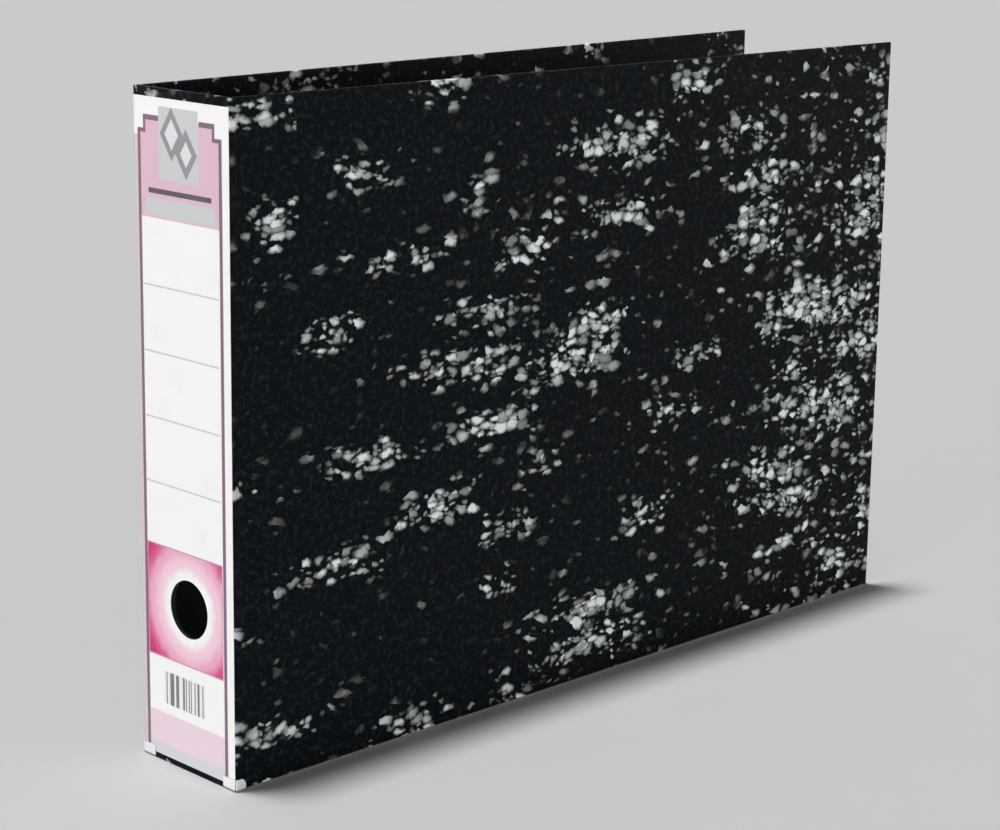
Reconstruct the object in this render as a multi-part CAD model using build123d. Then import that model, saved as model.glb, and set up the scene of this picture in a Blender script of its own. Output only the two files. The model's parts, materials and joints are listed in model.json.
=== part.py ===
from build123d import *
import os
from math import cos, radians, sin

# Lever arch file for A3 sheets laid sideways, closed and standing on its lower edges. Millimetres.
# +X runs along the covers away from the spine, +Y from the front cover to the rear cover, +Z is up.
# The origin is the middle of the spine's outer face, at its bottom edge.
# The rear cover and everything on it is drawn square to the spine, then turned out by REAR_SPLAY.

# ---- Case ----
HEIGHT = 320.0
COVER_LENGTH = 475.0
SPINE_WIDTH = 70.0
REAR_SPLAY = 4.65
BOARD = 2.0
PAPER = 0.3
SKIN = BOARD + 2 * PAPER
TURN_IN = 15.0
HINGE_GAP = 0.05
HALF_WIDTH = SPINE_WIDTH / 2
INNER = HALF_WIDTH - SKIN
SPINE_HALF = INNER - 0.35
FINGER_HOLE_RADIUS = 14.0
FINGER_HOLE_HEIGHT = 80.0
FINGER_HOLE_Y = -1.6

# ---- Spine label ----
LABEL = 0.2
LABEL_Y = (-34.5, 34.2)
LABEL_BOTTOM = 3.0
LABEL_TOP = 315.8

# ---- Metal edge strips under the covers ----
SHEET = 0.4
EDGE_START = 0.15
EDGE_FLANGE = 1.0
EDGE_CAP_HEIGHT = 6.0
EDGE_CAP_LENGTH = 5.5
EDGE_CAP_ROUND = 3.0

# ---- Metal caps on the spine's lower corners ----
CAP_Y = (26.0, 34.5)
CAP_HEIGHT = 6.0
CAP_CORNER = 1.0
CAP_CLEARANCE = 0.2

# ---- Mechanism: x from the spine, w up from the rear cover's inner face, z from MIDDLE ----
MIDDLE = HEIGHT / 2
PLATE = 1.2
PLATE_X = (10.0, 71.0)
PLATE_HALF_HEIGHT = 60.0
POST_X = 62.0
POST_SPACING = 80.0
POST_RADIUS = 2.25
POST_TOP = 34.6
COLLAR_RADIUS = 2.8
COLLAR_TOP = 8.0
WIRE_RADIUS = 1.6
ARCH_X = 24.0
ARCH_W = 9.0
ARCH_LEG = 26.0
ARCH_SWING = 33.0
CRANK_RADIUS = 15.0
CRANK_HALF = 13.0
LUG = 1.5
BEARING_Z = 26.0
RUNNING = 0.05
LEVER_X = 47.0
LEVER_SWING = 60.0
LEVER_LENGTH = 45.0
LEVER_REST = 142.0
LEVER_HALF = 10.0
LEVER_SHEET = 1.2
LEVER_PIN_RADIUS = 2.0
ROLLER_RADIUS = 3.5
ROLLER_PIN_RADIUS = 1.5
ROLLER_REACH = 2 * CRANK_RADIUS * sin(radians(ARCH_SWING / 2)) / (2 * sin(radians(LEVER_SWING / 2)))
ROLLER_LIFT = ROLLER_RADIUS + WIRE_RADIUS + RUNNING
BAR_W = (2.6, 6.2)
BAR_X = (55.0, 69.0)
BAR_HALF = 52.0
CATCH_TRAVEL = 2.0
RIVET_RADIUS = 1.9
PLATE_RIVETS = [(16.0, -50.0), (16.0, 50.0), (48.0, -50.0), (48.0, 50.0)]

# The crank sits half a swing below the arch's shaft when closed, and the roller rides on top of it.
CRANK_X = ARCH_X + CRANK_RADIUS * cos(radians(ARCH_SWING / 2))
CRANK_W = ARCH_W - CRANK_RADIUS * sin(radians(ARCH_SWING / 2))
ROLLER_X = LEVER_X - ROLLER_REACH * cos(radians(LEVER_SWING / 2))
ROLLER_W = CRANK_W + ROLLER_LIFT
LEVER_W = ROLLER_W + ROLLER_REACH * sin(radians(LEVER_SWING / 2))
ARCH_RADIUS = (POST_X - ARCH_X) / 2


def span(x, y, z):
    """A block between low and high values on each axis."""
    size = [high - low for low, high in (x, y, z)]
    centre = [(low + high) / 2 for low, high in (x, y, z)]
    return Pos(*centre) * Box(*size)


def at(x, w, z):
    """A point of the mechanism: w above the rear cover's inner face, z above the file's mid height."""
    return Vector(x, INNER - w, MIDDLE + z)


def slab(x, w, z):
    """A block in the mechanism's own x, w and z."""
    return span(x, (INNER - w[1], INNER - w[0]), (MIDDLE + z[0], MIDDLE + z[1]))


def rod(start, end, radius):
    """A round rod between two points."""
    along = end - start
    return Plane(origin=start, z_dir=along) * Cylinder(
        radius, along.length, align=(Align.CENTER, Align.CENTER, Align.MIN)
    )


def upright(x, z, w, radius):
    """A round rod that stands on the rear cover, between two values of w."""
    return rod(at(x, w[0], z), at(x, w[1], z), radius)


def crosswise(x, w, z, radius):
    """A round rod parallel to the spine, between two values of z."""
    return rod(at(x, w, z[0]), at(x, w, z[1]), radius)


def plate_profile(points, z):
    """A flat sheet with a straight-sided outline of (x, w) points, between two values of z."""
    outline = Polyline(*[(x, INNER - w, MIDDLE + z[0]) for x, w in points], close=True)
    return extrude(make_face(outline), z[1] - z[0], dir=(0, 0, 1))


def mirrored(shape):
    """A cover part on the other side of the file."""
    return mirror(shape, about=Plane.XZ)


def splayed(shape):
    """A rear cover part, turned out about the rear hinge from square to its rest position."""
    return shape.rotate(Axis((0, HALF_WIDTH, 0), (0, 0, 1)), REAR_SPLAY)


# ---- Covers, drawn on the front side ----
COVER_X = (PAPER + HINGE_GAP, COVER_LENGTH)
COVER_Z = (SHEET, HEIGHT)
COVER_BOARD_X = (COVER_X[0], COVER_LENGTH - PAPER)
COVER_BOARD_Z = (COVER_Z[0] + PAPER, HEIGHT - PAPER)


def cover_board():
    return span(COVER_BOARD_X, (-HALF_WIDTH + PAPER, -INNER - PAPER), COVER_BOARD_Z)


def cover_paper():
    """One sheet over the outside, folded over three edges and glued down inside."""
    wrap = span(COVER_X, (-HALF_WIDTH, -INNER), COVER_Z)
    return wrap - cover_board() - cover_lining()


def cover_lining():
    return span(
        (COVER_X[0], COVER_LENGTH - TURN_IN),
        (-INNER - PAPER, -INNER),
        (COVER_Z[0] + TURN_IN, HEIGHT - TURN_IN),
    )


def edge_strip():
    """A sheet metal channel under a cover's bottom edge, with a taller cap at the spine corner."""
    outer = (-HALF_WIDTH - SHEET, -INNER + SHEET)
    channel = span((EDGE_START, COVER_LENGTH), outer, (0, EDGE_FLANGE))
    cap = span((EDGE_START, EDGE_CAP_LENGTH), (outer[0], -INNER), (0, EDGE_CAP_HEIGHT))
    free_corner = cap.edges().filter_by(Axis.Y).sort_by(lambda edge: edge.center().X + edge.center().Z)[-1]
    cap = fillet(free_corner, EDGE_CAP_ROUND)
    cover = span((COVER_X[0], COVER_LENGTH + 1), (-HALF_WIDTH, -INNER), COVER_Z)
    beside_spine = (-SPINE_HALF - HINGE_GAP, -INNER + 1)
    spine_end = span((-1, SKIN + 0.2), beside_spine, (-1, EDGE_CAP_HEIGHT + 1))
    return channel + cap - cover - spine_end


# ---- Spine ----
def finger_hole():
    return Pos(0, FINGER_HOLE_Y, FINGER_HOLE_HEIGHT) * Rot(0, 90, 0) * Cylinder(FINGER_HOLE_RADIUS, 20)


def spine_board():
    board = span((PAPER, PAPER + BOARD), (-SPINE_HALF, SPINE_HALF), (PAPER, HEIGHT - PAPER))
    return board - finger_hole()


def spine_paper():
    """The outer sheet over the spine, notched at the bottom corners for the edge strips' caps."""
    edge = HALF_WIDTH - HINGE_GAP
    face = span((0, PAPER), (-edge, edge), (0, HEIGHT))
    wrap = span((0, SKIN), (-SPINE_HALF, SPINE_HALF), (0, HEIGHT))
    notch = (-1, EDGE_CAP_HEIGHT + HINGE_GAP)
    sheet = face + wrap - spine_board() - spine_lining() - finger_hole()
    for side in (-1, 1):
        y = sorted((side * SPINE_HALF, side * (HALF_WIDTH + 1)))
        sheet -= span((-1, SKIN + 1), y, notch)
    return sheet


def spine_lining():
    lining = span((SKIN - PAPER, SKIN), (-SPINE_HALF, SPINE_HALF), (TURN_IN, HEIGHT - TURN_IN))
    return lining - finger_hole()


def spine_label():
    """The printed label, notched at its lower corners for the metal caps."""
    label = span((-LABEL, 0), LABEL_Y, (LABEL_BOTTOM, LABEL_TOP)) - finger_hole()
    for cap in spine_corner_caps(CAP_CLEARANCE):
        label -= cap
    return label


def spine_corner_caps(clearance=0.0):
    """A thin metal plate with two rounded corners over each lower corner of the spine."""
    caps = []
    for side in (-1, 1):
        y = sorted((side * (CAP_Y[0] - clearance), side * (CAP_Y[1] + clearance)))
        cap = span((-SHEET, 0), y, (0, CAP_HEIGHT + clearance))
        upper = cap.edges().filter_by(Axis.X).group_by(Axis.Z)[-1]
        caps.append(fillet(upper, CAP_CORNER))
    return caps


# ---- Mechanism on the rear cover, drawn square ----
def rivet_holes(w):
    """The four rivet shanks between two values of w, as a cutter."""
    return [upright(x, z, w, RIVET_RADIUS) for x, z in PLATE_RIVETS]


def post_places():
    return [(POST_X, -POST_SPACING / 2), (POST_X, POST_SPACING / 2)]


def base_plate():
    """The pressed plate with its rolled lugs for the arch's shaft and the lever's pin."""
    blank = slab(PLATE_X, (0, PLATE), (-PLATE_HALF_HEIGHT, PLATE_HALF_HEIGHT))
    plate = fillet(blank.edges().filter_by(Axis.Y), 6)
    for side in (-1, 1):
        plate += bearing_lug(side)
        plate += lever_lug(side)
        plate += stiffening_rib(side)
    for hole in rivet_holes((-1, PLATE + 1)):
        plate -= hole
    for x, z in post_places():
        plate -= upright(x, z, (-1, PLATE + 1), POST_RADIUS - 0.5)
    return plate


def bearing_lug(side):
    z = sorted((side * BEARING_Z, side * (BEARING_Z + 2 * LUG)))
    foot = slab((ARCH_X - 4, ARCH_X + 4), (0, ARCH_W), z)
    eye = crosswise(ARCH_X, ARCH_W, z, 4)
    bore = crosswise(ARCH_X, ARCH_W, (z[0] - 1, z[1] + 1), WIRE_RADIUS + RUNNING)
    return foot + eye - bore


def lever_lug(side):
    low = LEVER_HALF + 0.3
    z = sorted((side * low, side * (low + LUG)))
    foot = slab((LEVER_X - 5, LEVER_X + 5), (0, LEVER_W), z)
    eye = crosswise(LEVER_X, LEVER_W, z, 5)
    return foot + eye - crosswise(LEVER_X, LEVER_W, (z[0] - 1, z[1] + 1), LEVER_PIN_RADIUS)


def stiffening_rib(side):
    """A rounded rib pressed up along the plate."""
    z = sorted((side * 33, side * 55))
    rib = crosswise(32, 0, z, 2.4)
    return rib & slab((25, 40), (0, 5), (-PLATE_HALF_HEIGHT, PLATE_HALF_HEIGHT))


def plate_rivets():
    """Four rivets through the plate and the rear cover, with a low head on each side."""
    rivets = []
    for x, z in PLATE_RIVETS:
        shank = upright(x, z, (-SKIN, PLATE), RIVET_RADIUS)
        inner_head = upright(x, z, (PLATE, PLATE + 1.1), 3.6)
        outer_head = upright(x, z, (-SKIN - 0.8, -SKIN), 4.5)
        inner_head = fillet(inner_head.edges().sort_by(Axis.Y)[0], 0.7)
        outer_head = fillet(outer_head.edges().sort_by(Axis.Y)[-1], 0.5)
        rivets.append(shank + inner_head + outer_head)
    return rivets


def filing_posts():
    """Two posts staked into the plate, each with a foot, a low collar and a cupped tip."""
    posts = []
    for x, z in post_places():
        tail = upright(x, z, (0, PLATE), POST_RADIUS - 0.5)
        foot = upright(x, z, (PLATE, PLATE + 0.9), 3.4)
        collar = upright(x, z, (PLATE, COLLAR_TOP), COLLAR_RADIUS)
        shaft = upright(x, z, (PLATE, POST_TOP), POST_RADIUS)
        shaft = chamfer(shaft.edges().sort_by(Axis.Y)[0], 0.5)
        cup = Pos(*at(x, POST_TOP + 0.6, z)) * Sphere(1.5)
        posts.append(tail + foot + collar + shaft - cup)
    return posts


def arch_wire():
    """One bent wire: two arches, the shaft between them and the crank under the lever's roller."""
    half = POST_SPACING / 2
    wire = crosswise(CRANK_X, CRANK_W, (-CRANK_HALF, CRANK_HALF), WIRE_RADIUS)
    for side in (-1, 1):
        crank_end = at(CRANK_X, CRANK_W, side * CRANK_HALF)
        shaft_start = at(ARCH_X, ARCH_W, side * CRANK_HALF)
        shaft_end = at(ARCH_X, ARCH_W, side * half)
        leg_top = at(ARCH_X, ARCH_W + ARCH_LEG, side * half)
        wire += rod(crank_end, shaft_start, WIRE_RADIUS)
        wire += rod(shaft_start, shaft_end, WIRE_RADIUS)
        wire += rod(shaft_end, leg_top, WIRE_RADIUS)
        for knee in (crank_end, shaft_start, shaft_end):
            wire += Pos(*knee) * Sphere(WIRE_RADIUS)
        wire += arch(side * half)
    return wire


def arch(z):
    """The half circle from the leg over to the post's tip."""
    centre = at(ARCH_X + ARCH_RADIUS, ARCH_W + ARCH_LEG, z)
    section = Plane(origin=at(ARCH_X, ARCH_W + ARCH_LEG, z), z_dir=(0, 1, 0)) * Circle(WIRE_RADIUS)
    return revolve(section, Axis(centre, (0, 0, 1)), revolution_arc=180)


def opening_springs():
    """Two coil springs round the shaft, beside the crank."""
    springs = []
    for side in (-1, 1):
        z = sorted((side * (CRANK_HALF + 3), side * (BEARING_Z - 2)))
        coil = crosswise(ARCH_X, ARCH_W, z, WIRE_RADIUS + 1.4)
        springs.append(coil - crosswise(ARCH_X, ARCH_W, (z[0] - 1, z[1] + 1), WIRE_RADIUS + 0.3))
    return springs


def lever_point(along, across):
    """A point (x, w) of the lever at rest: along the handle from its pin, and across it."""
    turn = radians(LEVER_REST)
    return (
        LEVER_X + along * cos(turn) + across * sin(turn),
        LEVER_W + along * sin(turn) - across * cos(turn),
    )


def lever():
    """A folded channel: a web with a rounded thumb end, and two cheeks round the pin and roller."""
    web = plate_profile(
        [lever_point(6, 3), lever_point(6, 3 + LEVER_SHEET),
         lever_point(LEVER_LENGTH, 3 + LEVER_SHEET), lever_point(LEVER_LENGTH, 3)],
        (-LEVER_HALF, LEVER_HALF),
    )
    web = fillet(web.edges().filter_by(lambda e: tip_corner(e)), 8)
    shape = web
    for z in ((-LEVER_HALF, -LEVER_HALF + LEVER_SHEET), (LEVER_HALF - LEVER_SHEET, LEVER_HALF)):
        shape += lever_cheek(z)
    shape -= crosswise(LEVER_X, LEVER_W, (-20, 20), LEVER_PIN_RADIUS + RUNNING)
    shape -= crosswise(ROLLER_X, ROLLER_W, (-20, 20), ROLLER_PIN_RADIUS)
    return shape


def tip_corner(edge):
    """True for the two short edges through the sheet at the web's free corners."""
    tip = Vector(*lever_point(LEVER_LENGTH, 3 + LEVER_SHEET / 2))
    middle = edge.center()
    near = abs(middle.X - tip.X) < 0.1 and abs(INNER - middle.Y - tip.Y) < 0.1
    return near and abs(edge.length - LEVER_SHEET) < 0.01


def lever_cheek(z):
    """One side of the channel: an eye round the pin, a lobe for the roller's pin, and a skirt."""
    skirt = plate_profile(
        [lever_point(-2, 3), lever_point(-4, 0), lever_point(0, -4), lever_point(10, -2),
         lever_point(34, 3), lever_point(34, 3 + LEVER_SHEET), lever_point(0, 3 + LEVER_SHEET)],
        z,
    )
    eye = crosswise(LEVER_X, LEVER_W, z, 4)
    lobe = crosswise(ROLLER_X, ROLLER_W, z, 3)
    neck = plate_profile(
        [(ROLLER_X - 1.6, ROLLER_W + 2.5), (ROLLER_X + 1.4, ROLLER_W - 2.6),
         (LEVER_X + 2, LEVER_W - 3.4), (LEVER_X - 3, LEVER_W + 2.6)],
        z,
    )
    return skirt + eye + lobe + neck


def lever_pin():
    """The rivet that the lever turns on, headed outside both lugs."""
    outer = LEVER_HALF + 0.3 + LUG
    pin = crosswise(LEVER_X, LEVER_W, (-outer, outer), LEVER_PIN_RADIUS)
    for side in (-1, 1):
        pin += crosswise(LEVER_X, LEVER_W, sorted((side * outer, side * (outer + 1.2))), 3.2)
    return pin


def roller_pin():
    return crosswise(ROLLER_X, ROLLER_W, (-LEVER_HALF, LEVER_HALF), ROLLER_PIN_RADIUS)


def lever_roller():
    half = LEVER_HALF - LEVER_SHEET - 0.2
    sleeve = crosswise(ROLLER_X, ROLLER_W, (-half, half), ROLLER_RADIUS)
    return sleeve - crosswise(ROLLER_X, ROLLER_W, (-20, 20), ROLLER_PIN_RADIUS + RUNNING)


def compressor_bar():
    """A shallow channel that slides on both posts and holds the sheets down."""
    outer = slab(BAR_X, BAR_W, (-BAR_HALF, BAR_HALF))
    inner = slab((BAR_X[0] + 1, BAR_X[1] - 1), (BAR_W[0] - 1, BAR_W[1] - 1), (-BAR_HALF - 1, BAR_HALF + 1))
    bar = outer - inner
    for x, z in post_places():
        bar -= upright(x, z, (0, 10), COLLAR_RADIUS + 0.25)
    for x, z in catch_rivet_places():
        bar -= upright(x, z, (0, 10), 1.2)
    return bar


def catch_rivet_places():
    return [(POST_X, -24.0), (POST_X, 24.0)]


def compressor_catch():
    """A sliding strip under the bar that grips the posts, with a thumb tab past the bar's end."""
    web_w = (BAR_W[1] - 2.0, BAR_W[1] - 1.2)
    strip = slab((POST_X - 5, POST_X + 5), web_w, (-48, 57))
    strip += slab((POST_X - 5, POST_X + 5), (web_w[0], web_w[0] + 6), (56.2, 57))
    for x, z in post_places():
        strip -= slot_cutter(x, z, COLLAR_RADIUS + RUNNING)
    for x, z in catch_rivet_places():
        strip -= slot_cutter(x, z, 1.2 + RUNNING)
    return strip


def slot_cutter(x, z, radius):
    """A slot that starts round a fixed stud and leaves room for the catch to slide down."""
    low = upright(x, z, (0, 10), radius)
    high = upright(x, z + CATCH_TRAVEL, (0, 10), radius)
    return low + high + slab((x - radius, x + radius), (0, 10), (z, z + CATCH_TRAVEL))


def catch_rivets():
    """Two small rivets that hang the catch under the bar."""
    rivets = []
    for x, z in catch_rivet_places():
        shank = upright(x, z, (BAR_W[1] - 2.1, BAR_W[1]), 1.2)
        top = upright(x, z, (BAR_W[1], BAR_W[1] + 0.7), 2.2)
        bottom = upright(x, z, (BAR_W[1] - 2.8, BAR_W[1] - 2.1), 2.2)
        rivets.append(shank + top + bottom)
    return rivets


def rear_cover(shape):
    """A cover sheet on the rear side, with the holes for the plate's rivets."""
    sheet = mirrored(shape)
    for hole in rivet_holes((-SKIN - 1, 1)):
        sheet -= hole
    return sheet


def write(name, shape):
    """One node as a STEP file. A list of solids is kept as a group of separate solids."""
    group = Compound(children=shape) if isinstance(shape, list) else shape
    export_step(group, f"parts/{name}.step")


def write_splayed(name, shape):
    """One node of the rear cover, at its rest position."""
    if isinstance(shape, list):
        write(name, [splayed(piece) for piece in shape])
    else:
        write(name, splayed(shape))


os.makedirs("parts", exist_ok=True)

write("front_cover_board", cover_board())
write("front_cover_paper", cover_paper())
write("front_cover_lining", cover_lining())
write("front_edge_strip", edge_strip())
write("spine_board", spine_board())
write("spine_paper", spine_paper())
write("spine_lining", spine_lining())
write("spine_label", spine_label())
write("spine_corner_caps", spine_corner_caps())
write_splayed("rear_cover_board", rear_cover(cover_board()))
write_splayed("rear_cover_paper", rear_cover(cover_paper()))
write_splayed("rear_cover_lining", rear_cover(cover_lining()))
write_splayed("rear_edge_strip", mirrored(edge_strip()))
write_splayed("base_plate", base_plate())
write_splayed("plate_rivets", plate_rivets())
write_splayed("filing_posts", filing_posts())
write_splayed("arch_wire", arch_wire())
write_splayed("opening_springs", opening_springs())
write_splayed("lever", lever())
write_splayed("lever_pin", lever_pin())
write_splayed("roller_pin", roller_pin())
write_splayed("lever_roller", lever_roller())
write_splayed("compressor_bar", compressor_bar())
write_splayed("compressor_catch", compressor_catch())
write_splayed("catch_rivets", catch_rivets())
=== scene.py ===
import json
import math
import random

import bmesh
import bpy
from mathutils import Matrix, Vector


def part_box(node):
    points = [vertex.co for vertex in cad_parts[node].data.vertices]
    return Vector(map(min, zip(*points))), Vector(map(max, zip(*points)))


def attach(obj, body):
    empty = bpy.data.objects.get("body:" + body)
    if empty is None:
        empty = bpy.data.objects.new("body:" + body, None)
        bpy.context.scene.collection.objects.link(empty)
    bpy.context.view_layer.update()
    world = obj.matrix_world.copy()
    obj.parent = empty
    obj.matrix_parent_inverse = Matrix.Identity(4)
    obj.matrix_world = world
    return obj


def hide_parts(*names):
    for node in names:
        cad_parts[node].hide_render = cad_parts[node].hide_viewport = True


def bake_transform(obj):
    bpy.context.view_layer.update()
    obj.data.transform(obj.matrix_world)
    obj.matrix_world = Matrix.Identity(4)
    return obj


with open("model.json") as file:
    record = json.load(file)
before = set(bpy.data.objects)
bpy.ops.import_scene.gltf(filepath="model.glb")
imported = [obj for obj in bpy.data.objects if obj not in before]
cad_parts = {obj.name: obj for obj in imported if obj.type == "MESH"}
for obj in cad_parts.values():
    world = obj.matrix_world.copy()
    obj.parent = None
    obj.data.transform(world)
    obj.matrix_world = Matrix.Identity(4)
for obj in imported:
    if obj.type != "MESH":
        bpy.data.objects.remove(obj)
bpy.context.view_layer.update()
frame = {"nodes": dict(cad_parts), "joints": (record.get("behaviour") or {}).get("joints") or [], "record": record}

# A lever arch file for A3 sheets, closed and standing on its lower edges.
# Every mesh is in metres in the row's frame. Sizes here are in millimetres, times MM.
# The case's parts are built on the front side; in_rear_place() mirrors them and turns them out.

MM = 0.001
JOINTS = {joint["name"]: joint for joint in frame["joints"]}

# ---- Places and sizes taken from the frame ----
COVER_LOW, COVER_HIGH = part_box("front_cover_paper")
LINING_LOW, LINING_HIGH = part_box("front_cover_lining")
SPINE_LOW, SPINE_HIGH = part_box("spine_paper")
_, SPINE_BOARD_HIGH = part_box("spine_board")
SPRINGS_LOW, SPRINGS_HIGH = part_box("opening_springs")
HEIGHT = COVER_HIGH.z
HALF_WIDTH = -COVER_LOW.y
SKIN = SPINE_HIGH.x
SPINE_END = SPINE_BOARD_HIGH.y
REAR_HINGE = Vector(JOINTS["rear_cover_hinge"]["pos_m"])
SPLAY = -math.radians(JOINTS["rear_cover_hinge"]["range_deg"][0])
ARCH_SHAFT = Vector(JOINTS["arch_swing"]["pos_m"])

# ---- The finger hole through the spine ----
HOLE_CENTRE = Vector((0, -1.6 * MM, 80 * MM))
HOLE_RADIUS = 14 * MM

# ---- Marbled print: bright clusters on a black ground, strewn by chance, in mm ----
PRINT_SEED = 3
ROW_GAP = 24
PLACE_GAP = 95
PRINT_DEPTH = 384
PRINT_LENGTH = 500
HALF_HEIGHTS = (5, 9)
HALF_LENGTHS = (10, 34)
STRENGTHS = (0.55, 1.0)
# A cluster is left out beyond this many times its half size, where it has faded away.
CLUSTER_REACH = 2.5
# Single blotches lie between the clusters. More of them come from THICKER_FROM on along the cover,
# and more again from CROWDED_FROM on.
SPARSE_PRINT = 0.03
THICKER_FROM, THICKER_OVER, THICKER_BY = 130, 345, 0.12
CROWDED_FROM, CROWDED_OVER, CROWDED_BY = 385, 60, 0.12
FULL_PRINT = 1.1
SPINE_PRINT = 0.12
# The rear sheet is cut the other way round, from lower down the print and from another length of it.
REAR_LENGTH = 475
REAR_DROP = 56
REAR_SHIFT = 600


def srgb(red, green, blue):
    """A colour given in 0 to 255 steps, as linear values."""
    steps = [value / 255 for value in (red, green, blue)]
    linear = [s / 12.92 if s <= 0.04045 else ((s + 0.055) / 1.055) ** 2.4 for s in steps]
    return (*linear, 1.0)


class Shader:
    """A material and short ways to add nodes to it. An input may be a number, a tuple or a socket."""

    def __init__(self, name):
        self.material = bpy.data.materials.new(name)
        self.material.use_nodes = True
        self.tree = self.material.node_tree
        self.surface = self.tree.nodes["Principled BSDF"]

    def connect(self, target, value):
        if isinstance(value, bpy.types.NodeSocket):
            self.tree.links.new(value, target)
        else:
            target.default_value = value

    def node(self, kind, inputs, **settings):
        made = self.tree.nodes.new(kind)
        for key, value in settings.items():
            setattr(made, key, value)
        for key, value in inputs.items():
            self.connect(made.inputs[key], value)
        return made

    def math(self, operation, *values):
        inputs = dict(enumerate(values))
        return self.node("ShaderNodeMath", inputs, operation=operation).outputs[0]

    def vector(self, operation, a, b):
        return self.node("ShaderNodeVectorMath", {0: a, 1: b}, operation=operation).outputs[0]

    def mix(self, share, a, b):
        return self.node("ShaderNodeMix", {0: share, 6: a, 7: b}, data_type="RGBA").outputs[2]

    def ramp(self, value, low, high, out_low=0.0, out_high=1.0):
        """A smooth step from one value to another."""
        inputs = {0: value, 1: low, 2: high, 3: out_low, 4: out_high}
        return self.node("ShaderNodeMapRange", inputs, interpolation_type="SMOOTHSTEP").outputs[0]

    def noise(self, scale, detail=3.0, roughness=0.55, at=None, dimensions="3D"):
        inputs = {"Scale": scale, "Detail": detail, "Roughness": roughness}
        inputs["Vector"] = at if at is not None else self.position()
        return self.node("ShaderNodeTexNoise", inputs, noise_dimensions=dimensions)

    def position(self):
        """The object's own coordinates, which are the row's frame in metres."""
        return self.node("ShaderNodeTexCoord", {}).outputs["Object"]

    def split(self, vector):
        return self.node("ShaderNodeSeparateXYZ", {0: vector}).outputs

    def join(self, x, y, z):
        return self.node("ShaderNodeCombineXYZ", {0: x, 1: y, 2: z}).outputs[0]

    def bump(self, height, strength, distance):
        inputs = {"Height": height, "Strength": strength, "Distance": distance}
        self.connect(self.surface.inputs["Normal"], self.node("ShaderNodeBump", inputs).outputs[0])

    def finish(self, colour, roughness, metallic=0.0, specular=0.5):
        self.connect(self.surface.inputs["Base Color"], colour)
        self.connect(self.surface.inputs["Roughness"], roughness)
        self.connect(self.surface.inputs["Metallic"], metallic)
        self.connect(self.surface.inputs["Specular IOR Level"], specular)
        return self.material


# ---- Materials ----
def blotches(shader, place, size, density, growth):
    """Soft oval blotches, one to a cell of the size in mm: each shows above its own random level."""
    x, y, _ = shader.split(place)
    drawn_out = shader.join(shader.math("DIVIDE", x, 1.8), y, 0.0)
    inputs = {"Vector": drawn_out, "Scale": 1 / size, "Randomness": 0.9}
    cells = shader.node("ShaderNodeTexVoronoi", inputs, voronoi_dimensions="2D")
    level, spread, shade = shader.split(cells.outputs["Color"])
    shown = shader.ramp(shader.math("SUBTRACT", density, level), -0.02, 0.12)
    radius = shader.math("MULTIPLY_ADD", spread, growth, 0.42)
    inner = shader.math("MULTIPLY", radius, 0.25)
    spot = shader.ramp(cells.outputs["Distance"], inner, radius, 1.0, 0.0)
    bright = shader.math("MULTIPLY_ADD", shader.math("POWER", shade, 1.4), 0.75, 0.25)
    core = shader.ramp(density, 0.3, 1.0, 1.0, 1.6)
    shape = shader.math("MULTIPLY", spot, shown)
    ink = shader.math("MULTIPLY", shape, shader.math("MULTIPLY", bright, core))
    return shader.math("MINIMUM", ink, 1.0)


def marbled_paper():
    """Black cover paper with a cloudy print of light grey blotches, a little rubbed along its edges."""
    shader = Shader("marbled_paper")
    printed = shader.node("ShaderNodeAttribute", {}, attribute_name="print").outputs["Vector"]
    worn = shader.node("ShaderNodeAttribute", {}, attribute_name="edge").outputs["Fac"]
    x, y, density = shader.split(printed)
    flat = shader.join(x, y, 0.0)
    place = flat
    for scale, reach in ((0.04, 9.0), (0.3, 2.6)):
        wobble = shader.noise(scale, detail=2.0, at=flat, dimensions="2D").outputs["Color"]
        shift = shader.vector("SUBTRACT", wobble, (0.5, 0.5, 0.5))
        place = shader.vector("ADD", place, shader.vector("MULTIPLY", shift, (reach, reach, 0)))
    patchy = shader.noise(0.09, detail=3.0, at=flat, dimensions="2D").outputs["Fac"]
    local = shader.math("MULTIPLY", density, shader.ramp(patchy, 0.35, 0.65, 0.6, 1.2))
    large = blotches(shader, place, 4.6, local, 0.4)
    small = blotches(shader, place, 2.6, shader.math("MULTIPLY", local, 0.7), 0.25)
    faint = shader.noise(0.35, detail=2.0, at=place, dimensions="2D").outputs["Fac"]
    ghost = shader.ramp(faint, 0.5, 0.7)
    ink = shader.math("MAXIMUM", large, shader.math("MULTIPLY", small, 0.75))
    ink = shader.math("MAXIMUM", ink, shader.math("MULTIPLY", ghost, 0.012))
    paper = shader.mix(ink, srgb(7, 13, 17), srgb(244, 249, 251))
    rub = shader.ramp(shader.noise(900).outputs["Fac"], 0.5, 0.72)
    rubbed = shader.math("MULTIPLY", shader.math("MULTIPLY", worn, rub), 0.15)
    colour = shader.mix(rubbed, paper, srgb(120, 118, 114))
    fibre = shader.noise(1800, detail=4.0).outputs["Fac"]
    shader.bump(fibre, 0.25, 0.05 * MM)
    return shader.finish(colour, shader.ramp(fibre, 0.3, 0.7, 0.5, 0.68), specular=0.05)


def lining_paper():
    """Plain charcoal paper with a soft mottle and fine fibres."""
    shader = Shader("lining_paper")
    mottle = shader.noise(60, detail=4.0).outputs["Fac"]
    fibre = shader.noise(1500, detail=5.0, roughness=0.65).outputs["Fac"]
    base = shader.mix(shader.ramp(mottle, 0.3, 0.7), srgb(34, 34, 36), srgb(44, 44, 46))
    colour = shader.mix(shader.ramp(fibre, 0.62, 0.75, 0.0, 0.3), base, srgb(95, 94, 92))
    shader.bump(fibre, 0.3, 0.06 * MM)
    return shader.finish(colour, shader.ramp(fibre, 0.3, 0.7, 0.7, 0.85), specular=0.2)


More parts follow.
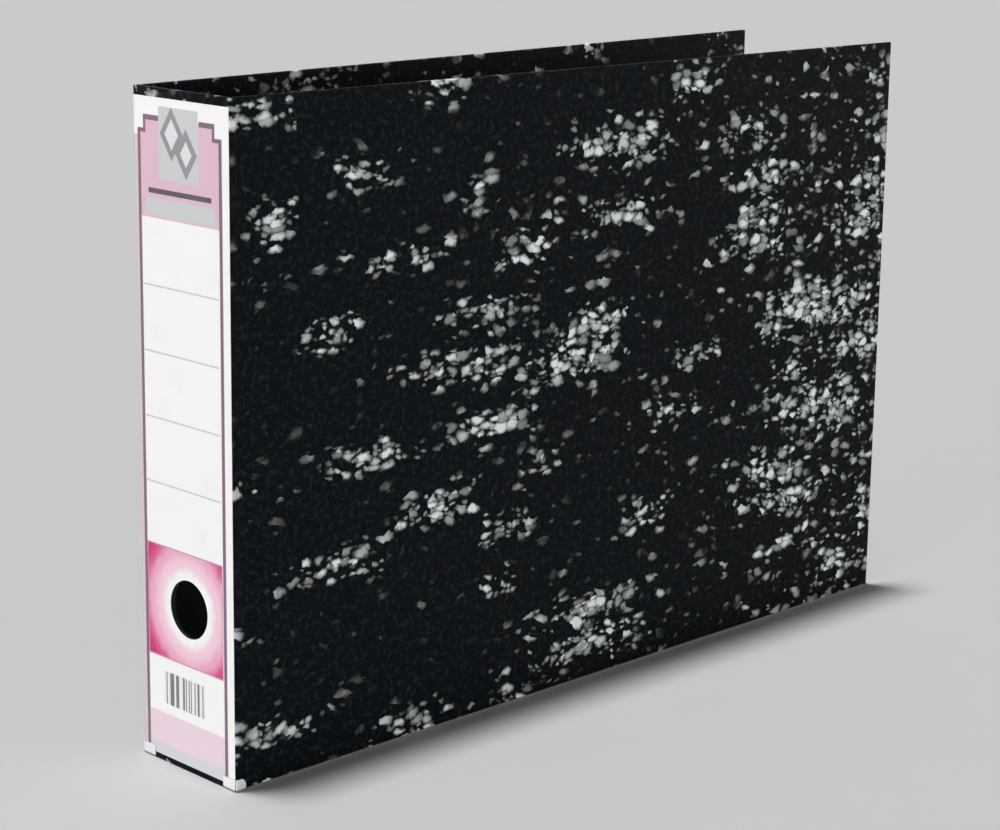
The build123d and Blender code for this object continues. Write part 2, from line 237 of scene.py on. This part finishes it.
def nickel(name, tone, roughness, metallic=1.0, darker_below=0.0):
    """Bright nickel plate: cloudy sheen, hairline scratches, a few dull spots and a darker lower edge."""
    shader = Shader(name)
    cloud = shader.noise(90, detail=4.0).outputs["Fac"]
    x, y, z = shader.split(shader.position())
    along = shader.join(shader.math("MULTIPLY", x, 0.08), y, shader.math("MULTIPLY", z, 0.08))
    scratch = shader.noise(9000, detail=2.0, at=along).outputs["Fac"]
    spots = shader.ramp(shader.noise(700, detail=2.0).outputs["Fac"], 0.66, 0.78)
    bright = srgb(*tone)
    dull = srgb(*[value - 45 for value in tone])
    colour = shader.mix(shader.math("MULTIPLY", spots, 0.35), bright, dull)
    if darker_below:
        # Darker towards the bottom: below the given height the plate's colour is mixed toward dark grey.
        bottom_darkening = shader.ramp(z, darker_below - 0.2 * MM, darker_below + 0.2 * MM, 0.75, 0.0)
        colour = shader.mix(bottom_darkening, colour, srgb(62, 60, 60))
    shader.bump(scratch, 0.12, 0.02 * MM)
    smooth = shader.ramp(cloud, 0.3, 0.7, roughness, roughness + 0.12)
    rough = shader.math("MULTIPLY_ADD", shader.ramp(scratch, 0.6, 0.75), 0.12, smooth)
    return shader.finish(colour, rough, metallic=metallic)


def painted_box(shader, under, ink, across, up, u, v):
    """Ink over a box between two values of u and two of v, with edges a tenth of a millimetre soft."""
    masks = []
    for value, (low, high) in ((u, across), (v, up)):
        gap = shader.math("ABSOLUTE", shader.math("SUBTRACT", value, (low + high) / 2))
        half = (high - low) / 2
        masks.append(shader.ramp(gap, half - 0.1, half + 0.1, 1.0, 0.0))
    return shader.mix(shader.math("MULTIPLY", *masks), under, ink)


# ---- The label's print. u runs from its rear edge and v down from the file's top, in mm ----
WHITE = srgb(250, 250, 249)
PINK = srgb(226, 188, 206)
PALE_PINK = srgb(238, 214, 226)
MAUVE = srgb(132, 100, 120)
GREY = srgb(206, 208, 210)
SILVER = srgb(216, 214, 222)
DARK = srgb(92, 84, 92)
PANEL = (6.0, 61.5)
EDGE_TINT = srgb(214, 202, 209)
LABEL_BOXES = [
    (EDGE_TINT, (0, 4), (22, 320)),
    (PINK, (4, 64), (20, 59)),
    (PINK, (8.4, 59), (13.4, 21)),
    (GREY, (19, 48), (8, 41)),
    (GREY, (9, 59), (50, 58)),
    (DARK, (11, 57), (45.4, 47.8)),
    (WHITE, PANEL, (59.5, 212)),
    (GREY, PANEL, (90, 90.7)),
    (GREY, PANEL, (121, 121.7)),
    (GREY, PANEL, (152, 152.7)),
    (GREY, PANEL, (183, 183.7)),
    (PALE_PINK, (5, 64), (295.5, 311)),
    (SILVER, (4, 64), (311, 317.5)),
]
# The mauve frame: its two long sides, its top line either side of the emblem, and its stepped corners.
FRAME_BOXES = [
    ((3.4, 5.5), (20, 317)),
    ((62.4, 64.6), (20, 317)),
    ((8.0, 19.0), (12.4, 14.8)),
    ((48.5, 59.6), (12.4, 14.8)),
    ((3.4, 9.4), (18.8, 20.6)),
    ((58.6, 64.6), (18.8, 20.6)),
    ((7.6, 9.4), (12.4, 20.6)),
    ((57.8, 59.6), (12.4, 20.6)),
]
# The magenta square's tints, each reached between two distances from the finger hole's axis.
ROSE = srgb(206, 152, 178)
SQUARE_TINTS = [
    (15.5, 21.5, srgb(247, 206, 224)),
    (22.0, 28.5, srgb(238, 170, 200)),
    (28.0, 34.0, srgb(222, 84, 142)),
    (33.0, 38.0, srgb(203, 42, 108)),
]
# The square's rose border and the field inside it.
SQUARE_BORDER = ((5.5, 62), (213, 268))
SQUARE_FIELD = ((6.1, 61.4), (213.6, 267.4))
# Each diamond's centre, half width and ink, in the order they are painted.
DIAMOND_GREY = srgb(150, 148, 154)
DIAMOND_PALE = srgb(226, 230, 230)
DIAMONDS = [
    ((28.5, 20), 8.5, DIAMOND_GREY), ((39, 28), 8.0, DIAMOND_GREY),
    ((28.5, 20), 5.0, DIAMOND_PALE), ((39, 28), 4.2, DIAMOND_PALE),
]
BARS_PER_MM = 1.35
BAR_BLOCK = ((17, 48), (274.5, 290.5))


def label_paper():
    """Satin label paper, printed with a framed pink border, a ruled panel and a magenta square."""
    shader = Shader("label_paper")
    _, y, z = shader.split(shader.position())
    u = shader.math("MULTIPLY_ADD", y, -1 / MM, HALF_WIDTH / MM)
    v = shader.math("MULTIPLY_ADD", z, -1 / MM, HEIGHT / MM)
    colour = WHITE
    for ink, across, up in LABEL_BOXES:
        colour = painted_box(shader, colour, ink, across, up, u, v)
    colour = emblem(shader, colour, u, v)
    colour = magenta_square(shader, colour, u, v)
    colour = bar_block(shader, colour, u, v)
    for across, up in FRAME_BOXES:
        colour = painted_box(shader, colour, MAUVE, across, up, u, v)
    soiling = shader.ramp(shader.noise(45, detail=5.0).outputs["Fac"], 0.5, 0.8, 0.0, 0.1)
    colour = shader.mix(soiling, colour, srgb(205, 200, 190))
    fibre = shader.noise(1600, detail=3.0).outputs["Fac"]
    shader.bump(fibre, 0.12, 0.04 * MM)
    return shader.finish(colour, shader.ramp(fibre, 0.3, 0.7, 0.36, 0.5), specular=0.35)


def emblem(shader, under, u, v):
    """Two plain overlapping diamonds, each with a paler middle."""
    colour = under
    for (centre_u, centre_v), size, ink in DIAMONDS:
        across = shader.math("ABSOLUTE", shader.math("SUBTRACT", u, centre_u))
        down = shader.math("ABSOLUTE", shader.math("SUBTRACT", v, centre_v))
        reach = shader.math("ADD", across, shader.math("MULTIPLY", down, 0.7))
        colour = shader.mix(shader.ramp(reach, size - 0.2, size + 0.2, 1.0, 0.0), colour, ink)
    return colour


def magenta_square(shader, under, u, v):
    """A square round the finger hole: deep corners, pale sides and a white ring next to the hole."""
    centre_u = (HALF_WIDTH - HOLE_CENTRE.y) / MM
    centre_v = (HEIGHT - HOLE_CENTRE.z) / MM
    across = shader.math("SUBTRACT", u, centre_u)
    down = shader.math("SUBTRACT", v, centre_v)
    squares = shader.math("ADD", shader.math("POWER", across, 2.0), shader.math("POWER", down, 2.0))
    reach = shader.math("SQRT", squares)
    streaks = shader.noise(0.35, detail=3.0, at=shader.join(u, shader.math("MULTIPLY", v, 0.5), 0.0))
    depth = shader.math("MULTIPLY_ADD", streaks.outputs["Fac"], 5.0, shader.math("SUBTRACT", reach, 2.5))
    ink = WHITE
    for start, end, tint in SQUARE_TINTS:
        ink = shader.mix(shader.ramp(depth, start, end), ink, tint)
    colour = painted_box(shader, under, ROSE, *SQUARE_BORDER, u, v)
    return painted_box(shader, colour, ink, *SQUARE_FIELD, u, v)


def bar_block(shader, under, u, v):
    """A block of upright grey bars of random widths."""
    step = shader.math("FLOOR", shader.math("MULTIPLY", u, BARS_PER_MM))
    level = shader.node("ShaderNodeTexWhiteNoise", {"W": step}, noise_dimensions="1D").outputs["Value"]
    dark = shader.math("GREATER_THAN", level, 0.45)
    ink = shader.mix(dark, srgb(240, 240, 240), srgb(120, 124, 126))
    return painted_box(shader, under, ink, *BAR_BLOCK, u, v)


def floor_paint():
    """Matt pale grey paint with a faint grain."""
    shader = Shader("floor_paint")
    grain = shader.noise(25, detail=5.0).outputs["Fac"]
    colour = shader.mix(grain, (0.475, 0.475, 0.475, 1), (0.485, 0.485, 0.485, 1))
    return shader.finish(colour, 0.9, specular=0.0)


MATERIALS = {
    "marbled_paper": marbled_paper(),
    "lining_paper": lining_paper(),
    "label_paper": label_paper(),
    # plated_strip is darker towards the bottom, below 1.1 mm.
    "plated_strip": nickel("plated_strip", (248, 248, 247), 0.34, metallic=0.4, darker_below=1.1 * MM),
    "plated_steel": nickel("plated_steel", (222, 220, 215), 0.2),
    "plated_wire": nickel("plated_wire", (226, 225, 221), 0.14),
    "plated_rivet": nickel("plated_rivet", (224, 222, 216), 0.22),
    "spring_steel": nickel("spring_steel", (176, 174, 172), 0.3),
}


# ---- Mesh building ----
def place_object(name, data):
    """The data as a new object in the scene."""
    made = bpy.data.objects.new(name, data)
    bpy.context.scene.collection.objects.link(made)
    return made


def add_line(curve, points, closed=False):
    """A line through the points, added to the curve."""
    spline = curve.splines.new("POLY")
    spline.points.add(len(points) - 1)
    for target, point in zip(spline.points, points):
        target.co = (*point, 1)
    spline.use_cyclic_u = closed


def in_rear_place(point):
    """A point of the front side, carried to the rear cover's side of the file at rest."""
    mirrored = Vector((point.x, -point.y, point.z))
    return Matrix.Rotation(SPLAY, 3, "Z") @ (mirrored - REAR_HINGE) + REAR_HINGE


def add_piece(name, bm, slot, rear=False):
    """The mesh as an object with its slot's material. A rear piece is carried to its own side."""
    if rear:
        for vert in bm.verts:
            vert.co = in_rear_place(vert.co)
    bmesh.ops.recalc_face_normals(bm, faces=bm.faces)
    mesh = bpy.data.meshes.new(name)
    bm.to_mesh(mesh)
    bm.free()
    mesh.shade_smooth()
    piece = place_object(name, mesh)
    mesh.materials.append(MATERIALS[slot])
    return piece


def strewn_clusters():
    """Clusters as (depth, along, half height, half length, strength): fewer of them near the spine."""
    chance = random.Random(PRINT_SEED)
    clusters = []
    for row in range(PRINT_DEPTH // ROW_GAP):
        for place in range(PRINT_LENGTH // PLACE_GAP + 1):
            depth = (row + 0.5 + chance.uniform(-0.4, 0.4)) * ROW_GAP
            along = (place + chance.uniform(-0.5, 0.5)) * PLACE_GAP
            half_height, half_length = chance.uniform(*HALF_HEIGHTS), chance.uniform(*HALF_LENGTHS)
            strength = chance.uniform(*STRENGTHS)
            if chance.random() < 0.6 + 0.4 * along / PRINT_LENGTH:
                clusters.append((depth, along, half_height, half_length, strength))
    return clusters


CLUSTERS = strewn_clusters()


def print_density(along, depth):
    """How closely the blotches stand at a place on a cover, both in mm."""
    thicker = max(0.0, along - THICKER_FROM) / THICKER_OVER
    crowded = min(1.0, max(0.0, (along - CROWDED_FROM) / CROWDED_OVER))
    total = SPARSE_PRINT + THICKER_BY * thicker + CROWDED_BY * crowded
    for row, place, half_height, half_length, strength in CLUSTERS:
        down = (depth - row) / half_height
        across = (along - place) / half_length
        if abs(down) < CLUSTER_REACH and abs(across) < CLUSTER_REACH:
            total += strength * math.exp(-(down ** 4 + across ** 4) ** 0.5)
    return min(total, FULL_PRINT)


def set_print(bm, rear=False, over_top=1.0):
    """Stores each point's place on the unfolded printed sheet and the print's density there.

    The share over_top says how far the sheet is unfolded at the top edge as well as at the spine.
    """
    layer = bm.verts.layers.float_vector.new("print")
    for vert in bm.verts:
        depth = (vert.co.y + HALF_WIDTH) / MM
        along = vert.co.x / MM + depth
        up = vert.co.z / MM + over_top * depth
        below = HEIGHT / MM - vert.co.z / MM
        if rear:
            density = print_density(REAR_LENGTH - along, below + REAR_DROP)
            vert[layer] = (along + REAR_SHIFT, up, density)
        else:
            vert[layer] = (along, up, print_density(along, below))


def stations(low, high, radius, step):
    """Values from low to high: close together in the rounded ends, and even between them."""
    ends = [0.0, 0.35 * radius, 0.7 * radius, radius]
    length = high - low - 2 * radius
    count = max(1, round(length / step))
    middle = [low + radius + length * i / count for i in range(1, count)]
    return [low + e for e in ends] + middle + [high - e for e in reversed(ends)]


def rounded_slab(low, high, radius, step):
    """A closed slab between two corners, with round edges and an even grid on its faces."""
    axes = [stations(a, b, radius, step) for a, b in zip(low, high)]
    last = [len(values) - 1 for values in axes]
    bm = bmesh.new()
    edge = bm.verts.layers.float.new("edge")
    made = {}

    def vertex(index):
        if index not in made:
            corner = Vector(axes[n][index[n]] for n in range(3))
            core = Vector(min(max(corner[n], low[n] + radius), high[n] - radius) for n in range(3))
            out = corner - core
            made[index] = bm.verts.new(core + out.normalized() * radius)
            made[index][edge] = 1.0 if sum(abs(value) > 1e-7 for value in out) > 1 else 0.0
        return made[index]

    for normal in range(3):
        first, second = [n for n in range(3) if n != normal]
        for end in (0, last[normal]):
            for i in range(last[first]):
                for j in range(last[second]):
                    face = []
                    for di, dj in ((0, 0), (1, 0), (1, 1), (0, 1)):
                        index = [0, 0, 0]
                        index[normal], index[first], index[second] = end, i + di, j + dj
                        face.append(vertex(tuple(index)))
                    bm.faces.new(face)
    return bm


def warp(bm, amount):
    """A board's slight unevenness: a few long, shallow waves across its thickness."""
    for vert in bm.verts:
        x, z = vert.co.x, vert.co.z
        wave = math.sin(x * 17 + 0.8) * math.sin(z * 14 + 1.9) + 0.5 * math.sin(x * 31 + z * 23)
        away = min(1.0, max(0.0, (x - 20 * MM) / (80 * MM)))
        vert.co.y += amount * wave * away


# ---- Case ----
EDGE_ROUND = 0.8 * MM
WARP = 0.12 * MM


def cover(side, rear):
    """A cover's board inside its wrapped paper."""
    bm = rounded_slab(COVER_LOW, COVER_HIGH, EDGE_ROUND, 3.5 * MM)
    set_print(bm, rear)
    warp(bm, WARP)
    wrap = add_piece(f"{side}_cover_wrap", bm, "marbled_paper", rear)
    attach(wrap, f"{side}_cover")
    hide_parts(f"{side}_cover_board", f"{side}_cover_paper")


def cover_lining(side, rear):
    """The sheet pasted inside a cover, over the edges of the turned-in paper."""
    proud = 0.12 * MM
    low = Vector((LINING_LOW.x + 6 * MM, LINING_HIGH.y - proud, LINING_LOW.z))
    high = Vector((LINING_HIGH.x, LINING_HIGH.y + proud, LINING_HIGH.z))
    bm = rounded_slab(low, high, 0.11 * MM, 8 * MM)
    warp(bm, WARP)
    sheet = add_piece(f"{side}_cover_lining_sheet", bm, "lining_paper", rear)
    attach(sheet, f"{side}_cover")
    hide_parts(f"{side}_cover_lining")


STRIP_STEP = 8 * MM
BEND_STEPS = 6


def strip_along_z(path, thickness, low, high):
    """A thin closed strip that follows a path of (x, y) points, with its thickness to the path's left."""
    bm = bmesh.new()
    points = [Vector((x, y, 0)) for x, y in path]
    inner = []
    for i, point in enumerate(points):
        before, after = points[max(0, i - 1)], points[min(len(points) - 1, i + 1)]
        along = (after - before).normalized()
        inner.append(point + Vector((-along.y, along.x, 0)) * thickness)
    count = max(1, round((high - low) / STRIP_STEP))
    rows = []
    for k in range(count + 1):
        lift = Vector((0, 0, low + (high - low) * k / count))
        rows.append([bm.verts.new(p + lift) for p in points + inner[::-1]])
    size = len(rows[0])
    for lower, upper in zip(rows, rows[1:]):
        for i in range(size):
            n = (i + 1) % size
            bm.faces.new((lower[i], lower[n], upper[n], upper[i]))
    for row in (rows[0], rows[-1]):
        for i in range(len(points) - 1):
            bm.faces.new((row[i], row[i + 1], row[size - 2 - i], row[size - 1 - i]))
    return bm


def corner_path(start, corner, end, radius):
    """Points from start round a corner to end, where the legs run along y and then along x."""
    toward_y = math.copysign(1, start[1] - corner[1])
    toward_x = math.copysign(1, end[0] - corner[0])
    centre = (corner[0] + toward_x * radius, corner[1] + toward_y * radius)
    path = [start]
    for i in range(BEND_STEPS + 1):
        turn = math.pi / 2 * i / BEND_STEPS
        path.append((centre[0] - toward_x * radius * math.cos(turn),
                     centre[1] - toward_y * radius * math.sin(turn)))
    return path + [end]


def hinge(side, rear):
    """The papers that cross a hinge: the outer sheet, its turned-in edge and the lining."""
    outer = -HALF_WIDTH - 0.12 * MM
    path = corner_path((0.0, -SPINE_END), (0.0, outer), (3.4 * MM, outer), 0.9 * MM)
    path.append((4.0 * MM, -HALF_WIDTH + 0.05 * MM))
    bm = strip_along_z(path, 0.3 * MM, COVER_LOW.z, HEIGHT)
    paper = hinge_piece(f"{side}_hinge_paper", bm, "marbled_paper", rear)
    blend_at(paper)

    inner = COVER_HIGH.y
    for name, slot, proud, reach, low, high in (
        ("turn_in", "marbled_paper", 0.1 * MM, 6 * MM, COVER_LOW.z + 0.3 * MM, HEIGHT - 0.3 * MM),
        ("lining", "lining_paper", 0.28 * MM, 8 * MM, LINING_LOW.z, LINING_HIGH.z),
    ):
        corner = (SKIN + proud, inner + proud)
        path = corner_path((corner[0], inner + reach), corner, (SKIN + reach, corner[1]), 1.2 * MM)
        path = [(SKIN - 0.05 * MM, path[0][1] + 0.4 * MM)] + path
        path.append((path[-1][0] + 0.4 * MM, inner - 0.05 * MM))
        bm = strip_along_z(path, -0.2 * MM, low, high)
        piece = hinge_piece(f"{side}_hinge_{name}", bm, slot, rear)
        blend_at(piece)


def hinge_piece(name, bm, slot, rear):
    """A hinge's paper as a piece. Its print isn't unfolded at the top, where it would slant."""
    set_print(bm, rear, over_top=0.0)
    return add_piece(name, bm, slot, rear)


def blend_at(piece):
    """Bakes a hinge paper's placement into its mesh."""
    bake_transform(piece)


CORNER_STEPS = 4
HOLE_STEPS = 72


def holed_sheet(name, low, high, thickness, corner, edge_round):
    """A sheet facing -X between two (y, z) corners, with the finger hole through it."""
    curve = bpy.data.curves.new(name, "CURVE")
    curve.dimensions = "2D"
    curve.fill_mode = "BOTH"
    curve.extrude = thickness / 2 - edge_round
    curve.bevel_depth = edge_round
    curve.bevel_resolution = 2
    curve.offset = -edge_round
    left, right = low[0] + corner, high[0] - corner
    bottom, top = low[1] + corner, high[1] - corner
    outline = []
    for turn, (y, z) in enumerate(((right, top), (left, top), (left, bottom), (right, bottom))):
        for i in range(CORNER_STEPS + 1):
            angle = math.pi / 2 * (turn + i / CORNER_STEPS)
            outline.append((y + corner * math.cos(angle), z + corner * math.sin(angle), 0))
    hole = []
    for i in range(HOLE_STEPS):
        angle = -2 * math.pi * i / HOLE_STEPS
        hole.append((HOLE_CENTRE.y + HOLE_RADIUS * math.cos(angle),
                     HOLE_CENTRE.z + HOLE_RADIUS * math.sin(angle), 0))
    add_line(curve, outline, closed=True)
    add_line(curve, hole, closed=True)
    holder = place_object(name + "_curve", curve)
    bpy.context.view_layer.update()
    settled = holder.evaluated_get(bpy.context.evaluated_depsgraph_get())
    mesh = bpy.data.meshes.new_from_object(settled)
    bpy.data.objects.remove(holder)
    bm = bmesh.new()
    bm.from_mesh(mesh)
    bmesh.ops.remove_doubles(bm, verts=bm.verts, dist=1e-6)
    for vert in bm.verts:
        y, z, x = vert.co
        vert.co = (x, y, z)
    return bm


def spine():
    """The spine's board in its wrapped paper, and the lining inside it, both cut for the finger hole."""
    bm = holed_sheet("spine_wrap", (-SPINE_END, SPINE_LOW.z), (SPINE_END, SPINE_HIGH.z),
                     thickness=SKIN, corner=0.3 * MM, edge_round=0.25 * MM)
    bmesh.ops.translate(bm, verts=bm.verts, vec=(SKIN / 2, 0, 0))
    layer = bm.verts.layers.float_vector.new("print")
    for vert in bm.verts:
        vert[layer] = (-(vert.co.y + HALF_WIDTH) / MM, (vert.co.z + vert.co.x) / MM, SPINE_PRINT)
    wrap = add_piece("spine_wrap", bm, "marbled_paper")
    wrap.data.materials.append(MATERIALS["lining_paper"])
    # The wall of the hole isn't printed.
    for face in wrap.data.polygons:
        from_axis = math.hypot(face.center.y - HOLE_CENTRE.y, face.center.z - HOLE_CENTRE.z)
        if from_axis < HOLE_RADIUS + 0.2 * MM:
            face.material_index = 1
    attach(wrap, "spine")
    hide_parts("spine_board", "spine_paper")

    end = SPINE_END - 1 * MM
    bm = holed_sheet("spine_lining_sheet", (-end, LINING_LOW.z), (end, LINING_HIGH.z),
                     thickness=0.24 * MM, corner=0.5 * MM, edge_round=0.1 * MM)
    bmesh.ops.translate(bm, verts=bm.verts, vec=(SKIN, 0, 0))
    sheet = add_piece("spine_lining_sheet", bm, "lining_paper")
    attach(sheet, "spine")
    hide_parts("spine_lining")


# ---- Mechanism ----
def springs():
    """Two coil springs round the arches' shaft, each with a leg that presses on the plate."""
    outer = 3.0 * MM
    wire = 0.45 * MM
    length = 8 * MM
    turns = 7
    turn_steps = 20
    middle = (SPRINGS_LOW.z + SPRINGS_HIGH.z) / 2
    reach = (SPRINGS_HIGH.z - SPRINGS_LOW.z) / 2
    outward = Matrix.Rotation(SPLAY, 3, "Z") @ Vector((0, 1, 0))
    for side, place in ((-1, "lower"), (1, "upper")):
        curve = bpy.data.curves.new(f"arch_spring_{place}", "CURVE")
        curve.dimensions = "3D"
        curve.bevel_depth = wire
        curve.bevel_resolution = 3
        curve.use_fill_caps = True
        points = []
        steps = turns * turn_steps
        for i in range(steps + 1):
            angle = 2 * math.pi * i / turn_steps
            z = middle + side * (reach - wire - (length - 2 * wire) * i / steps)
            ring = Vector((math.cos(angle), math.sin(angle), 0)) * (outer - wire)
            points.append(Vector((ARCH_SHAFT.x, ARCH_SHAFT.y, z)) + ring)
        leg_root = points[-1]
        points.append(leg_root + outward * 2.5 * MM)
        points.append(leg_root + outward * 5.0 * MM)
        add_line(curve, points)
        spring = place_object(f"arch_spring_{place}", curve)
        curve.materials.append(MATERIALS["spring_steel"])
        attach(spring, "rear_cover")
        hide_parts("opening_springs")


def dress_cad_nodes():
    """Each CAD node that is shown gets its slot's material, and metal gets fine rounded edges."""
    slots = {part["node"]: part["material_slot"] for part in frame["record"]["subparts"]}
    for name, node in frame["nodes"].items():
        if node.hide_render or slots[name] not in MATERIALS:
            continue
        node.data.materials.clear()
        node.data.materials.append(MATERIALS[slots[name]])
        if slots[name] == "label_paper":
            continue
        weld = node.modifiers.new("weld", "WELD")
        weld.merge_threshold = 1e-6
        bevel = node.modifiers.new("fine_edges", "BEVEL")
        bevel.width = 0.12 * MM
        bevel.segments = 2
        bevel.limit_method = "ANGLE"
        bevel.angle_limit = math.radians(35)
        bevel.use_clamp_overlap = True
        node.modifiers.new("even_normals", "WEIGHTED_NORMAL")


# ---- Stage ----
def floor():
    """A plain pale floor, far wider than the view."""
    bm = bmesh.new()
    bmesh.ops.create_grid(bm, x_segments=1, y_segments=1, size=12)
    mesh = bpy.data.meshes.new("floor")
    bm.to_mesh(mesh)
    bm.free()
    made = place_object("floor", mesh)
    mesh.materials.append(floor_paint())


def sun(name, source, strength, spread):
    """Soft parallel light that comes from the source's direction."""
    light = bpy.data.lights.new(name, "SUN")
    light.energy = strength
    light.angle = math.radians(spread)
    made = place_object(name, light)
    made.rotation_mode = "QUATERNION"
    made.rotation_quaternion = Vector(source).to_track_quat("Z", "Y")


# The brightness of the backdrop as the camera sees it.
BACKDROP = 0.578
# The ring's height above the horizon and its brightness there and overhead.
RING = {"From Min": 0.02, "From Max": 0.3, "To Min": 2.7, "To Max": 0.1}


def studio():
    """A bright ring of light near the horizon, a strong light from above and a key light on the spine."""
    world = bpy.data.worlds.new("studio")
    bpy.context.scene.world = world
    world.use_nodes = True
    tree = world.node_tree
    background = tree.nodes["Background"]
    coordinates = tree.nodes.new("ShaderNodeTexCoord")
    split = tree.nodes.new("ShaderNodeSeparateXYZ")
    tree.links.new(coordinates.outputs["Generated"], split.inputs[0])
    ring = tree.nodes.new("ShaderNodeMapRange")
    ring.interpolation_type = "SMOOTHSTEP"
    tree.links.new(split.outputs["Z"], ring.inputs["Value"])
    for key, value in RING.items():
        ring.inputs[key].default_value = value
    seen = tree.nodes.new("ShaderNodeLightPath")
    choose = tree.nodes.new("ShaderNodeMix")
    tree.links.new(seen.outputs["Is Camera Ray"], choose.inputs["Factor"])
    tree.links.new(ring.outputs[0], choose.inputs["A"])
    choose.inputs["B"].default_value = BACKDROP
    tree.links.new(choose.outputs["Result"], background.inputs["Color"])
    sun("top_light", (-0.055, 0.072, 1.0), 3.25, 6)
    sun("spine_key", (-0.97, -0.18, 0.1), 0.85, 12)


CAMERA_PLACE = (-0.66144, -0.87252, 0.43562)
CAMERA_ANGLES = (-44.44, 12.21, 0.7236)


def camera():
    """The camera stands off the file's near lower corner, a little above its middle."""
    azimuth, elevation, roll = (math.radians(angle) for angle in CAMERA_ANGLES)
    back = Vector((math.sin(azimuth) * math.cos(elevation),
                   -math.cos(azimuth) * math.cos(elevation), math.sin(elevation)))
    level = Vector((math.cos(azimuth), math.sin(azimuth), 0))
    upright = back.cross(level)
    right = level * math.cos(roll) + upright * math.sin(roll)
    turned = Matrix((right, back.cross(right), back)).transposed()
    data = bpy.data.cameras.new("camera")
    data.lens = 88.317
    data.sensor_width = 36
    data.shift_x = 0.010393
    data.shift_y = -0.056378
    made = place_object("camera", data)
    made.matrix_world = Matrix.Translation(CAMERA_PLACE) @ turned.to_4x4()
    bpy.context.scene.camera = made


for side, rear in (("front", False), ("rear", True)):
    cover(side, rear)
    cover_lining(side, rear)
    hinge(side, rear)
spine()
springs()
dress_cad_nodes()
floor()
studio()
camera()
bpy.context.scene.view_settings.view_transform = "Standard"
